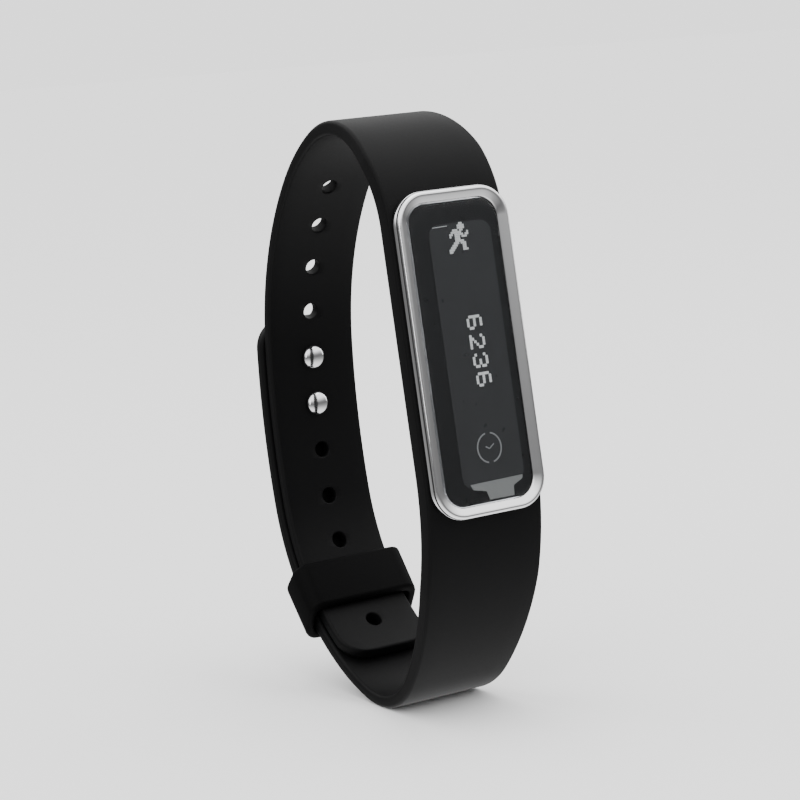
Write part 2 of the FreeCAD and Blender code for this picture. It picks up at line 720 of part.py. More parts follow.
def make_keeper():
    """Closed rectangular loop round both straps, bent to the arc that it slides on."""
    centre, radius, heading, _ = KEEPER_ARC
    out = math.degrees(heading) - 90 + num("keeper_turn")
    body = new_body("keeper", at_point(centre[0], centre[1], out))
    play = dim("keeper_play")
    inside_top = dim("peg_bend_c") + play
    stack = dim("strap_thickness") * 2 + dim("strap_gap")
    inside_low = dim("peg_bend_c") - stack - play
    half = dim("peg_half_width") + play
    wall = dim("keeper_wall")
    sketch = new_sketch(body, "keeper_section", "XY_Plane")
    for low, high, side in ((inside_low - wall, inside_top + wall, half + wall),
                            (inside_low, inside_top, half)):
        w = side.number
        corners = [V(-w, low.number, 0), V(w, low.number, 0), V(w, high.number, 0), V(-w, high.number, 0)]
        lines = [sketch.addGeometry(Part.LineSegment(corners[k], corners[(k + 1) % 4]), False)
                 for k in range(4)]
        for k in range(4):
            sketch.addConstraint(Sketcher.Constraint("Coincident", lines[k], 2, lines[(k + 1) % 4], 1))
        sketch.addConstraint(Sketcher.Constraint("Horizontal", lines[2]))
        for upright_line in (lines[1], lines[3]):
            sketch.addConstraint(Sketcher.Constraint("Vertical", upright_line))
        sketch.addConstraint(Sketcher.Constraint("Symmetric", lines[0], 1, lines[0], 2, -2))
        limit(sketch, side * 2, "DistanceX", lines[0], 1, lines[0], 2)
        limit(sketch, low, "DistanceY", -1, 1, lines[0], 1)
        limit(sketch, high, "DistanceY", -1, 1, lines[2], 1)
    bend = body.newObject("PartDesign::Revolution", "keeper_bend")
    bend.Profile = sketch
    bend.ReferenceAxis = (sketch, ["H_Axis"])
    bend.Midplane = True
    bend.setExpression("Angle", "Dims.keeper_length / Dims.peg_bend_c * 180 / pi")
    doc.recompute()
    names = []
    for i, edge in enumerate(bend.Shape.Edges, start=1):
        p = edge.valueAt((edge.FirstParameter + edge.LastParameter) / 2)
        runs_along = abs(edge.Vertexes[0].Point.z + edge.Vertexes[-1].Point.z) < 1e-6
        if runs_along and abs(abs(p.x) - (half + wall).number) < 1e-3:
            names.append("Edge%d" % i)
    round_edges(body, bend, names, dim("keeper_corner"), "keeper_corners")
    keep("keeper_loop", body)


# ---- display module -------------------------------------------------------------------------

def make_bezel():
    body = new_body("bezel")
    base = plate(body, "bezel", dim("bezel_width"), dim("bezel_length"), plain(0.0),
                 dim("bezel_height"), dim("bezel_corner"))
    rim = []
    for i, edge in enumerate(base.Shape.Edges, start=1):
        if all(abs(vertex.Point.z - num("bezel_height")) < 1e-6 for vertex in edge.Vertexes):
            rim.append("Edge%d" % i)
    lip = body.newObject("PartDesign::Chamfer", "bezel_slope")
    lip.Base = (base, rim)
    lip.ChamferType = "Equal distance"
    bind(lip, "Size", dim("bezel_slope"))
    doc.recompute()
    opening(body, "bezel_window", dim("glass_width") + 0.1, dim("glass_length") + 0.1, plain(-1.0),
            dim("bezel_height") + 2.0, dim("glass_corner"))
    opening(body, "bezel_recess", dim("window_width") + 0.1, dim("window_length") + 0.1,
            plain(-1.0), dim("glass_bottom") + 1.0, dim("window_corner"))
    keep("bezel_frame", body)


def make_glass():
    """Cover glass: flat underside, face curved across the width."""
    body = new_body("glass")
    sketch = new_sketch(body, "glass_section", "XZ_Plane")
    half = num("glass_width") / 2
    low = num("glass_bottom")
    side = low + num("glass_side")
    dome = num("glass_dome")
    drop = dome - math.sqrt(dome * dome - half * half)
    centre = V(0, side + drop - dome, 0)
    angle = math.asin(half / dome)
    base = sketch.addGeometry(Part.LineSegment(V(-half, low, 0), V(half, low, 0)), False)
    right = sketch.addGeometry(Part.LineSegment(V(half, low, 0), V(half, side, 0)), False)
    face = sketch.addGeometry(Part.ArcOfCircle(Part.Circle(centre, V(0, 0, 1), dome),
                                               math.pi / 2 - angle, math.pi / 2 + angle), False)
    left = sketch.addGeometry(Part.LineSegment(V(-half, side, 0), V(-half, low, 0)), False)
    for join in ((base, 2, right, 1), (right, 2, face, 1), (face, 2, left, 1), (left, 2, base, 1)):
        sketch.addConstraint(Sketcher.Constraint("Coincident", *join))
    for line in (right, left):
        sketch.addConstraint(Sketcher.Constraint("Vertical", line))
        limit(sketch, dim("glass_side"), "Distance", line)
    sketch.addConstraint(Sketcher.Constraint("Symmetric", base, 1, base, 2, -2))
    limit(sketch, dim("glass_width"), "DistanceX", base, 1, base, 2)
    limit(sketch, dim("glass_bottom"), "DistanceY", -1, 1, base, 1)
    limit(sketch, dim("glass_dome"), "Radius", face)
    long_pad = pad(body, sketch, dim("glass_length"), "glass_pad", midplane=True)
    edges = corner_edges(long_pad.Shape, 0.0)
    round_edges(body, long_pad, edges, dim("glass_corner"), "glass_corners")
    keep("front_glass", body)


def ring(name, width, length, level, height, wall, corner):
    """A flat rounded ring that stands on `level`."""
    body = new_body(name + "_body")
    plate(body, name, width, length, level, height, corner)
    opening(body, name + "_hole", width - wall * 2, length - wall * 2, level - 1.0, height + 2.0,
            corner - wall * 0.5)
    return body


def corner_spots():
    return [(sx * num("screw_across"), sy * num("screw_along")) for sx in (-1, 1) for sy in (-1, 1)]


def upright(name, diameter, height, x, y, z):
    """A cylinder in the cradle frame, standing on z."""
    cylinder = doc.addObject("Part::Cylinder", name)
    bind(cylinder, "Radius", diameter * 0.5)
    bind(cylinder, "Height", height)
    cylinder.Placement = cradle_pose.multiply(FreeCAD.Placement(V(x, y, z), FreeCAD.Rotation()))
    return cylinder


def make_housing():
    """Tray of the module with four screw bosses, its seal, back cover, screws and contacts."""
    play = dim("housing_play") * 2
    width = dim("window_width") - play
    length = dim("window_length") - play
    bottom = dim("housing_bottom")
    height = dim("housing_top") - bottom
    walls = ring("housing", width, length, bottom, height, dim("housing_wall"),
                 dim("window_corner"))
    bosses = []
    holes = []
    threads = []
    cover_top = bottom - dim("seal_thickness")
    cover_low = cover_top - dim("cover_thickness")
    for k, (x, y) in enumerate(corner_spots()):
        bosses.append(upright("boss_%d" % k, dim("boss_diameter"), dim("boss_height"),
                              x, y, bottom.number))
        shank = upright("screw_shank_%d" % k, dim("screw_diameter"), dim("screw_length"),
                        x, y, cover_low.number)
        head = upright("screw_head_%d" % k, dim("screw_head"), dim("screw_head_height"),
                       x, y, cover_low.number)
        holes.append(shank)
        threads.append(union("screw_%d" % k, [shank, head]))
    tray = union("housing_tray", [walls] + bosses)
    keep("module_housing", subtract("housing_drilled", tray, union("thread_tools", holes)))
    keep("back_cover_seal", ring("seal", width, length, cover_top, dim("seal_thickness"),
                                 dim("seal_width"), dim("window_corner")))
    cover = new_body("cover")
    base = plate(cover, "cover", width, length, cover_low, dim("cover_thickness"),
                 dim("window_corner"))
    rim = []
    for i, edge in enumerate(base.Shape.Edges, start=1):
        if all(abs(vertex.Point.z - cover_low.number) < 1e-6 for vertex in edge.Vertexes):
            rim.append("Edge%d" % i)
    round_edges(cover, base, rim, dim("cover_edge"), "cover_edge_round")
    pins = []
    for k in range(3):
        x = 0.0
        y = (k - 1) * num("contact_spacing")
        pins.append(upright("contact_%d" % k, dim("contact_diameter"), dim("cover_thickness"),
                            x, y, cover_low.number))
    fills = union("cover_tools", threads + pins)
    keep("back_cover", subtract("cover_drilled", cover, fills))
    keep("cover_screws", group("screw_set", threads))
    keep("charging_contacts", group("contact_set", pins))


def make_display():
    """Display panel in its carrier, its flex tail, the touch electrode and the lens gasket."""
    board_top = dim("board_bottom") + dim("board_thickness")
    panel_low = num("housing_top") - num("panel_thickness")
    carrier = new_body("carrier")
    height = dim("housing_top") - board_top
    plate(carrier, "carrier", dim("carrier_width"), dim("carrier_length"), board_top, height,
          dim("carrier_corner"))
    play = dim("panel_play") * 2
    opening(carrier, "carrier_window", dim("panel_width") + play, dim("panel_length") + play,
            board_top - 1.0, height + 2.0, None, (dim("panel_offset"), dim("panel_rise")))
    tail_slot = block("tail_slot", num("slot_width"), num("slot_length"), num("slot_depth"),
                      num("panel_offset"), num("slot_middle"), num("slot_bottom"))
    keep("display_carrier", subtract("carrier_slotted", carrier, tail_slot))
    keep("display_panel", block("panel", dim("panel_width"), dim("panel_length"),
                                dim("panel_thickness"), num("panel_offset"), num("panel_rise"),
                                panel_low))
    tail = new_body("tail")
    sketch = new_sketch(tail, "tail_outline", "XY_Plane", dim("flex_level"),
                        (dim("panel_offset"), plain(0.0)))
    wide = num("flex_wide") / 2
    neck = num("flex_neck") / 2
    start, shoulder, waist, end = (num("flex_start"), num("flex_shoulder"),
                                   num("flex_waist"), num("flex_end"))
    outline = [(-wide, start), (wide, start), (wide, shoulder), (neck, waist), (neck, end),
               (-neck, end), (-neck, waist), (-wide, shoulder)]
    for k, (x, y) in enumerate(outline):
        nx, ny = outline[(k + 1) % len(outline)]
        sketch.addGeometry(Part.LineSegment(V(x, y, 0), V(nx, ny, 0)), False)
    pad(tail, sketch, dim("flex_thickness"), "tail_pad")
    keep("display_flex", tail)
    keep("touch_electrode", upright("touch_pad", dim("touch_diameter"), dim("touch_thickness"),
                                    num("panel_offset"), num("touch_middle"), num("touch_level")))
    keep("lens_gasket", ring("gasket", dim("glass_width"), dim("glass_length"),
                             dim("glass_bottom") - dim("gasket_thickness"),
                             dim("gasket_thickness"), dim("gasket_width"), dim("glass_corner")))


# width, length, height and middle x, y of the parts soldered on the board
CHIPS = (("processor_chip", 5.0, 5.0, 0.6, 0.6, 5.0),
         ("memory_chip", 3.0, 2.0, 0.5, 0.6, -0.5),
         ("motion_sensor", 2.0, 2.0, 0.6, 0.6, -5.0),
         ("clock_crystal", 2.0, 1.2, 0.5, 0.6, 9.6),
         ("radio_antenna", 5.0, 1.6, 0.5, 0.6, 13.4))


def make_electronics():
    """Circuit board with its chips above and the battery and motor below."""
    board_top = num("board_bottom") + num("board_thickness")
    board = new_body("board")
    plate(board, "board", dim("board_width"), dim("board_length"), dim("board_bottom"),
          dim("board_thickness"), dim("board_corner"))
    keep("circuit_board", board)
    for name, width, length, height, x, y in CHIPS:
        keep(name, block(name + "_box", width, length, height, x, y, board_top))
    pad_low = num("board_bottom") - num("pad_thickness")
    keep("battery_pad", block("foam", dim("battery_width") - 1.0, dim("battery_length") - 1.0,
                              dim("pad_thickness"), 0.0, num("battery_middle"), pad_low))
    cell = new_body("cell")
    cell_low = dim("board_bottom") - dim("pad_thickness") - dim("battery_height")
    plate(cell, "cell", dim("battery_width"), dim("battery_length"), cell_low,
          dim("battery_height"), dim("battery_corner"), (plain(0.0), dim("battery_middle")))
    keep("battery_cell", cell)
    motor_low = num("board_bottom") - num("motor_height")
    keep("vibration_motor", upright("motor", dim("motor_diameter"), dim("motor_height"),
                                    0.0, num("motor_middle"), motor_low))


make_band()
make_clasp()
make_keeper()
make_bezel()
make_glass()
make_housing()
make_display()
make_electronics()
doc.recompute()

for obj in doc.Objects:
    if "Invalid" in obj.State or "Error" in obj.State:
        raise ValueError("%s is in state %s" % (obj.Label, obj.State))
for name, obj in nodes.items():
    if obj.Shape.isNull() or not obj.Shape.isValid():
        raise ValueError("%s has no valid shape" % name)
for name, obj in nodes.items():
    obj.Shape.exportStep("parts/%s.step" % name)

box = Part.makeCompound([obj.Shape for obj in nodes.values()]).optimalBoundingBox()
print("nodes %d, box X %.2f..%.2f Y %.2f..%.2f Z %.2f..%.2f" % (
    len(nodes), box.XMin, box.XMax, box.YMin, box.YMax, box.ZMin, box.ZMax))
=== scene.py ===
import bmesh
import bpy
import math
from mathutils import Matrix, Vector

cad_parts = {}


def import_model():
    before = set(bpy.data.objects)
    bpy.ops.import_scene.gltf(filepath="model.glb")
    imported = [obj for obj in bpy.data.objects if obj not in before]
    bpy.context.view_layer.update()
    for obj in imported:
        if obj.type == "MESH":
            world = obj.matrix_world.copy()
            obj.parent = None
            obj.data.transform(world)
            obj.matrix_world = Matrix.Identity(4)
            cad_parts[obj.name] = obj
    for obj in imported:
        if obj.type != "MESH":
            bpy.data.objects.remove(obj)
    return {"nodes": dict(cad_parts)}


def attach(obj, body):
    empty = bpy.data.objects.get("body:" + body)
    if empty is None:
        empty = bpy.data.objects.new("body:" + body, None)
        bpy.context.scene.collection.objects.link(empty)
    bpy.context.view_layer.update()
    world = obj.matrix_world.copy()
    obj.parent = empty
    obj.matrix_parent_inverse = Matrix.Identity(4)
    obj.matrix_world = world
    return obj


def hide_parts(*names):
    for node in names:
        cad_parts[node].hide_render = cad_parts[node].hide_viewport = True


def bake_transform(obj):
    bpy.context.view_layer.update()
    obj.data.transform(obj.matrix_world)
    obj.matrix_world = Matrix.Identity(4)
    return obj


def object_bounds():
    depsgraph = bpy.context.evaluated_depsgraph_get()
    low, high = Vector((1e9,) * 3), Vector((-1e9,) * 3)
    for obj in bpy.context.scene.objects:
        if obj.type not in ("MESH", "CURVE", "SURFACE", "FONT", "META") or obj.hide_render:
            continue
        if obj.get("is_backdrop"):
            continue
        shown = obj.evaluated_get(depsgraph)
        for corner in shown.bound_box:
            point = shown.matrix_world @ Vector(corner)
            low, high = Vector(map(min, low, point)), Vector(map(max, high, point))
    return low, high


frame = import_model()


def save_size(key, found):
    found[key] = [list(map(float, corner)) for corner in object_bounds()]


sizes = {}
save_size("cad", sizes)

# ---- the module's own frame: y runs up the display, z points out of it (millimetres) ----------
TILT = math.radians(6.85)
ORIGIN_Y, ORIGIN_Z = -17.614, 44.09
S, C = math.sin(TILT), math.cos(TILT)


def world(x, y, z):
    return Vector((x, ORIGIN_Y + y * S - z * C, ORIGIN_Z + y * C + z * S)) * 0.001


# ---- strap paths, as in the CAD model ---------------------------------------------------------
HOLE, PEG = 1, -1
RUN = {HOLE: 15.28, PEG: 13.36}
HOLE_ARCS = [(13.83, 108.6443), (22.6, 24.0), (36.737, 37.7157), (87.23, 13.0), (26.39, 52.0)]
PEG_ARCS = [(34.41, 48.51), (11.49, 65.83), (28.04, 62.3), (88.88, 15.3)]
ROOT_THICK, BACK_THICK = 2.3, 1.5
FRONT_HALF = 7.9
BACK_HALF = {HOLE: 6.15, PEG: 6.5}


def follow(side, arcs):
    point = (side * RUN[side], 0.0)
    heading = 0.0 if side == HOLE else math.pi
    turn = -side
    steps = []
    for radius, sweep in arcs:
        a = math.radians(sweep)
        centre = (point[0] - radius * turn * math.sin(heading),
                  point[1] + radius * turn * math.cos(heading))
        steps.append((centre, radius, heading, a))
        heading += turn * a
        point = (centre[0] + radius * turn * math.sin(heading),
                 centre[1] - radius * turn * math.cos(heading))
    return steps


def on_arc(side, step, angle, depth=0.0):
    """Point and outward direction on one arc of a strap, `depth` under its outer face."""
    centre, radius, heading, _ = step
    h = heading - side * angle
    out = (-side * math.sin(h), side * math.cos(h))
    return (centre[0] + (radius - depth) * out[0], centre[1] + (radius - depth) * out[1]), out


HOLE_PATH = follow(HOLE, HOLE_ARCS)
PEG_PATH = follow(PEG, PEG_ARCS)


def half_width(depth, back):
    if depth <= 3.0:
        return FRONT_HALF
    if depth >= 26.0:
        return back
    gain = FRONT_HALF - back
    radius = (23.0 ** 2 + gain ** 2) / (2 * gain)
    return back + radius - math.sqrt(radius ** 2 - (26.0 - depth) ** 2)


def smooth(t):
    t = min(1.0, max(0.0, t))
    return t * t * (3 - 2 * t)


def stations(side, steps, first, last, pitch=0.55):
    """Stations (point, out, half width, thickness) from distance `first` to `last`."""
    thin_after = sum(r * a for _, r, _, a in steps[:2])
    found = []
    count = max(2, int((last - first) / pitch))
    for i in range(count + 1):
        s = first + (last - first) * i / count
        rest = s
        for k, step in enumerate(steps):
            length = step[1] * step[3]
            if rest <= length or k == len(steps) - 1:
                point, out = on_arc(side, step, min(rest, length) / step[1])
                break
            rest -= length
        thick = ROOT_THICK + (BACK_THICK - ROOT_THICK) * smooth(s / thin_after)
        found.append((point, out, half_width(-point[1], BACK_HALF[side]), thick))
    return found


def arc_length(steps):
    return sum(r * a for _, r, _, a in steps)


def straight(start, end, pitch=2.0):
    count = max(2, int(abs(end - start) / pitch))
    return [((start + (end - start) * i / count, 0.0), (0.0, 1.0), FRONT_HALF, ROOT_THICK)
            for i in range(count + 1)]


def round_end(rows, corner=3.5, edge=0.35):
    """Rounds the last end of a run of stations in plan, and softens its end edge."""
    points = [Vector(row[0]) for row in rows]
    left = [0.0] * len(rows)
    for i in range(len(rows) - 2, -1, -1):
        left[i] = left[i + 1] + (points[i + 1] - points[i]).length
    fine = []
    for row, rest in zip(rows, left):
        if rest > corner + 0.3:
            fine.append((row, rest))
    near = [(row, rest) for row, rest in zip(rows, left) if rest <= corner + 0.8]
    marks = [corner * (1 - math.sin(math.pi / 2 * k / 14)) for k in range(15)]
    marks += [0.25, 0.12, 0.04]
    for mark in sorted(set(marks), reverse=True):
        for (a, ra), (b, rb) in zip(near, near[1:]):
            if rb <= mark <= ra + 1e-9:
                t = (ra - mark) / (ra - rb)
                point = tuple(Vector(a[0]).lerp(Vector(b[0]), t))
                out = tuple(Vector(a[1]).lerp(Vector(b[1]), t).normalized())
                fine.append(((point, out, a[2] + (b[2] - a[2]) * t, a[3]), mark))
                break
    result = []
    for (point, out, half, thick), rest in fine:
        if rest < corner:
            half = half - corner + math.sqrt(max(0.0, corner ** 2 - (corner - rest) ** 2))
        inset = 0.0
        if rest < edge:
            inset = edge - math.sqrt(max(0.0, edge ** 2 - (edge - rest) ** 2))
        result.append((point, out, half - inset, thick, inset))
    return result


def new_object(name, bm, sharp=35.0):
    bmesh.ops.recalc_face_normals(bm, faces=bm.faces)
    mesh = bpy.data.meshes.new(name)
    bm.to_mesh(mesh)
    bm.free()
    for polygon in mesh.polygons:
        polygon.use_smooth = True
    mesh.set_sharp_from_angle(angle=math.radians(sharp))
    obj = bpy.data.objects.new(name, mesh)
    bpy.context.scene.collection.objects.link(obj)
    return obj


def skin(bm, rings, close=False, caps=True):
    """Joins rings of points into a closed surface."""
    rows = [[bm.verts.new(p) for p in ring] for ring in rings]
    count = len(rows[0])
    pairs = list(zip(rows, rows[1:]))
    if close:
        pairs.append((rows[-1], rows[0]))
    for a, b in pairs:
        for i in range(count):
            j = (i + 1) % count
            bm.faces.new((a[i], a[j], b[j], b[i]))
    if caps and not close:
        bm.faces.new(list(reversed(rows[0])))
        bm.faces.new(rows[-1])
    return rows


def strap_ring(row, edge=0.42, across=6):
    """Section of the strap at a station: a rectangle with rounded corners."""
    point, out, half, thick = row[:4]
    inset = row[4] if len(row) > 4 else 0.0
    r = min(edge, half * 0.9, thick / 2 - inset - 0.02)
    top, low = -inset, -(thick - inset)
    ring = []
    for cx, cn, start in ((half - r, top - r, 0), (-half + r, top - r, 90),
                          (-half + r, low + r, 180), (half - r, low + r, 270)):
        for k in range(6):
            a = math.radians(start + 90 * k / 5)
            ring.append((cx + r * math.cos(a), cn + r * math.sin(a)))
        if start in (0, 180):
            step = -1 if start == 0 else 1
            for k in range(1, across):
                ring.append((-step * (half - r) * (1 - 2 * k / across), top if start == 0 else low))
    return [world(x, point[0] + out[0] * n, point[1] + out[1] * n) for x, n in ring]


# ---- materials --------------------------------------------------------------------------------

def material(name, color, rough, metal=0.0, spec=0.5, grain=None, bump=0.0, wear=0.0, emit=None,
             stretch=(1, 1, 1)):
    """Principled material with a fine procedural grain in roughness and bump."""
    mat = bpy.data.materials.new(name)
    mat.use_nodes = True
    nt = mat.node_tree
    bsdf = nt.nodes["Principled BSDF"]
    bsdf.inputs["Base Color"].default_value = (*color, 1)
    bsdf.inputs["Roughness"].default_value = rough
    bsdf.inputs["Metallic"].default_value = metal
    bsdf.inputs["Specular IOR Level"].default_value = spec
    if emit:
        bsdf.inputs["Emission Color"].default_value = (*emit[:3], 1)
        bsdf.inputs["Emission Strength"].default_value = emit[3]
    if grain:
        coords = nt.nodes.new("ShaderNodeTexCoord")
        mapping = nt.nodes.new("ShaderNodeMapping")
        mapping.inputs["Scale"].default_value = stretch
        nt.links.new(coords.outputs["Object"], mapping.inputs["Vector"])
        noise = nt.nodes.new("ShaderNodeTexNoise")
        noise.inputs["Scale"].default_value = grain
        noise.inputs["Detail"].default_value = 3.0
        nt.links.new(mapping.outputs["Vector"], noise.inputs["Vector"])
        spread = nt.nodes.new("ShaderNodeMapRange")
        spread.inputs["To Min"].default_value = max(0.02, rough - wear)
        spread.inputs["To Max"].default_value = min(1.0, rough + wear)
        nt.links.new(noise.outputs["Fac"], spread.inputs["Value"])
        nt.links.new(spread.outputs["Result"], bsdf.inputs["Roughness"])
        if bump:
            relief = nt.nodes.new("ShaderNodeBump")
            relief.inputs["Strength"].default_value = bump
            relief.inputs["Distance"].default_value = 0.00002
            nt.links.new(noise.outputs["Fac"], relief.inputs["Height"])
            nt.links.new(relief.outputs["Normal"], bsdf.inputs["Normal"])
    return mat


SILICONE = material("silicone", (0.0026, 0.0026, 0.0028), 0.52, spec=0.09, grain=5200, bump=0.35,
                    wear=0.06)
LOOP_SILICONE = material("loop_silicone", (0.0014, 0.0014, 0.0015), 0.6, spec=0.05, grain=5200,
                         bump=0.35, wear=0.06)
CHROME = material("polished_bezel", (0.86, 0.86, 0.87), 0.09, metal=1.0, grain=900, wear=0.03)
STUD = material("stud_steel", (0.80, 0.80, 0.81), 0.16, metal=1.0, grain=2600, wear=0.05)
# The black print and the panel face carry a faint painted glow that lifts them to a lighter grey;
# neither gives light of its own.
MASK = material("glass_mask", (0.005, 0.005, 0.0055), 0.28, spec=0.3, grain=900, wear=0.015,
                emit=(1, 1, 1, 0.015))
PANEL = material("panel_face", (0.016, 0.016, 0.017), 0.28, spec=0.3, grain=900, wear=0.015,
                 emit=(1, 1, 1, 0.030))
FLEX = material("flex_film", (0.22, 0.22, 0.21), 0.45, grain=3000, wear=0.08, bump=0.2)
# Glow of the lit display pixels, also used for the painted highlight on the panel's corner edge.
LIT = material("lit_pixels_and_painted_glint", (0.2, 0.2, 0.2), 0.5, grain=6000, wear=0.1,
               emit=(0.88, 0.9, 0.89, 0.6))
DIM_LIT = material("touch_mark", (0.16, 0.16, 0.16), 0.5, grain=6000, wear=0.1,
                   emit=(0.88, 0.9, 0.89, 0.10))
PLASTIC = material("housing_plastic", (0.012, 0.012, 0.013), 0.5, spec=0.4, grain=6500,
                   bump=0.3, wear=0.08)
# Rubber of the real seals, also used for the painted shade ring in the frame's groove.
SEAL_AND_SHADE = material("seal_rubber_and_painted_shade", (0.01, 0.01, 0.01), 0.7, grain=5000, bump=0.2, wear=0.05)
BOARD = material("solder_mask", (0.01, 0.055, 0.025), 0.35, grain=2500, wear=0.08)
CHIP = material("chip_body", (0.015, 0.015, 0.016), 0.55, grain=5000, wear=0.05)
CERAMIC = material("ceramic", (0.6, 0.58, 0.52), 0.5, grain=3000, wear=0.05)
CELL = material("cell_foil", (0.62, 0.62, 0.64), 0.32, metal=1.0, grain=1500, wear=0.08)
STEEL = material("satin_steel", (0.55, 0.55, 0.56), 0.3, metal=1.0, grain=3000, wear=0.08,
                 stretch=(1, 1, 6))
GOLD = material("gold_plate", (0.78, 0.55, 0.22), 0.22, metal=1.0, grain=2500, wear=0.06)
FOAM = material("foam", (0.05, 0.05, 0.052), 0.9, grain=2600, bump=0.5, wear=0.05)


def glass_material():
    """Thin dark glass: clear with a tint, and a mirror-like coat that grows at grazing angles."""
    mat = bpy.data.materials.new("cover_glass")
    mat.use_nodes = True
    nt = mat.node_tree
    nt.nodes.clear()
    out = nt.nodes.new("ShaderNodeOutputMaterial")
    mix = nt.nodes.new("ShaderNodeMixShader")
    clear = nt.nodes.new("ShaderNodeBsdfTransparent")
    clear.inputs["Color"].default_value = (0.86, 0.87, 0.88, 1)
    shine = nt.nodes.new("ShaderNodeBsdfGlossy")
    shine.inputs["Color"].default_value = (1, 1, 1, 1)
    noise = nt.nodes.new("ShaderNodeTexNoise")
    noise.inputs["Scale"].default_value = 700.0
    spread = nt.nodes.new("ShaderNodeMapRange")
    spread.inputs["To Min"].default_value = 0.12
    spread.inputs["To Max"].default_value = 0.15
    coords = nt.nodes.new("ShaderNodeTexCoord")
    fresnel = nt.nodes.new("ShaderNodeFresnel")
    fresnel.inputs["IOR"].default_value = 1.12
    nt.links.new(coords.outputs["Object"], noise.inputs["Vector"])
    nt.links.new(noise.outputs["Fac"], spread.inputs["Value"])
    nt.links.new(spread.outputs["Result"], shine.inputs["Roughness"])
    nt.links.new(fresnel.outputs["Fac"], mix.inputs[0])
    nt.links.new(clear.outputs["BSDF"], mix.inputs[1])
    nt.links.new(shine.outputs["BSDF"], mix.inputs[2])
    nt.links.new(mix.outputs["Shader"], out.inputs["Surface"])
    return mat


GLASS = glass_material()


def dress(obj, mat):
    obj.data.materials.clear()
    obj.data.materials.append(mat)
    return obj


# ---- straps -----------------------------------------------------------------------------------

def from_tail(distance):
    """Point and outward direction on the hole strap's middle, `distance` from its tail tip."""
    middle = BACK_THICK / 2
    for step in reversed(HOLE_PATH):
        length = (step[1] - middle) * step[3]
        if distance <= length:
            return on_arc(HOLE, step, step[3] - distance / (step[1] - middle), middle)
        distance -= length


HOLE_RADIUS = 0.98
HOLE_MARGIN, HOLE_PITCH, HOLE_COUNT = 5.1, 6.05, 11
STUD_HOLES = (5, 6)
FLARE = 0.22
HOLES = [from_tail(HOLE_MARGIN + HOLE_PITCH * i) for i in range(HOLE_COUNT)]


def rounded(half_x, half_y, radius, steps=8, inset=0.0):
    """Outline of a rounded rectangle, moved inwards by `inset`."""
    points = []
    r = max(0.05, radius - inset)
    x, y = half_x - radius, half_y - radius
    for cx, cy, start in ((x, y, 0), (-x, y, 90), (-x, -y, 180), (x, -y, 270)):
        for k in range(steps + 1):
            a = math.radians(start + 90 * k / steps)
            points.append((cx + r * math.cos(a), cy + r * math.sin(a)))
    return points


def lathe(bm, profile, centre, out, steps=32):
    """Turns a profile of (radius, height) about the line through `centre` along `out`."""
    along = Vector((0, out[0], out[1]))
    side = Vector((0, -out[1], out[0]))
    rings = []
    for radius, height in profile:
        ring = []
        for k in range(steps):
            a = 2 * math.pi * k / steps
            p = along * height + side * radius * math.sin(a)
            ring.append(world(radius * math.cos(a), centre[0] + p.y, centre[1] + p.z))
        rings.append(ring)
    skin(bm, rings)


def cutter():
    """Tools for the strap holes and the module's window; the holes flare softly at both faces."""
    bm = bmesh.new()
    flare = []
    for k in range(7):
        a = math.pi / 2 * k / 6
        flare.append((HOLE_RADIUS + FLARE * (1 - math.cos(a)), 0.55 + FLARE * math.sin(a)))
    wide = HOLE_RADIUS + FLARE + 0.01
    profile = [(wide, -1.2)] + [(r, -h) for r, h in reversed(flare)] + flare + [(wide, 1.2)]
    for centre, out in HOLES:
        lathe(bm, profile, centre, out)
    ring = rounded(6.4, 18.4, 2.6)
    skin(bm, [[world(x, y, z) for x, y in ring] for z in (-4.0, 1.0)])
    return new_object("cutter", bm)


SEAM = 34.2
peg_full = arc_length(PEG_PATH)
seam_at = arc_length(PEG_PATH[:2]) + PEG_PATH[2][1] * math.radians(SEAM)

tail = stations(HOLE, HOLE_PATH, 0.0, arc_length(HOLE_PATH))
hole_rows = [row + (0.0,) for row in straight(0.0, RUN[HOLE])[:-1]] + round_end(tail)
peg_rows = [row + (0.0,) for row in straight(-RUN[PEG], 0.0)[1:-1]]
low_rows = [row + (0.0,) for row in stations(PEG, PEG_PATH, 0.0, seam_at)]
bm = bmesh.new()
skin(bm, [strap_ring(row) for row in list(reversed(low_rows)) + peg_rows + hole_rows])
strap = new_object("silicone_strap", bm)
tool = cutter()
cut = strap.modifiers.new("openings", "BOOLEAN")
cut.operation = "DIFFERENCE"
cut.solver = "EXACT"
cut.object = tool
bpy.context.view_layer.update()
depsgraph = bpy.context.evaluated_depsgraph_get()
cut_mesh = bpy.data.meshes.new_from_object(strap.evaluated_get(depsgraph))
strap.modifiers.clear()
strap.data = cut_mesh
bpy.data.objects.remove(tool)
for polygon in strap.data.polygons:
    polygon.use_smooth = True
strap.data.set_sharp_from_angle(angle=math.radians(35))
dress(strap, SILICONE)
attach(strap, "band")
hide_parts("silicone_band")

bm = bmesh.new()
back_rows = round_end(stations(PEG, PEG_PATH, seam_at, peg_full))
skin(bm, [strap_ring(row) for row in back_rows])
back = new_object("peg_strap_back", bm)
dress(back, SILICONE)
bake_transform(back)
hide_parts("peg_strap_end")


# ---- keeper loop ------------------------------------------------------------------------------

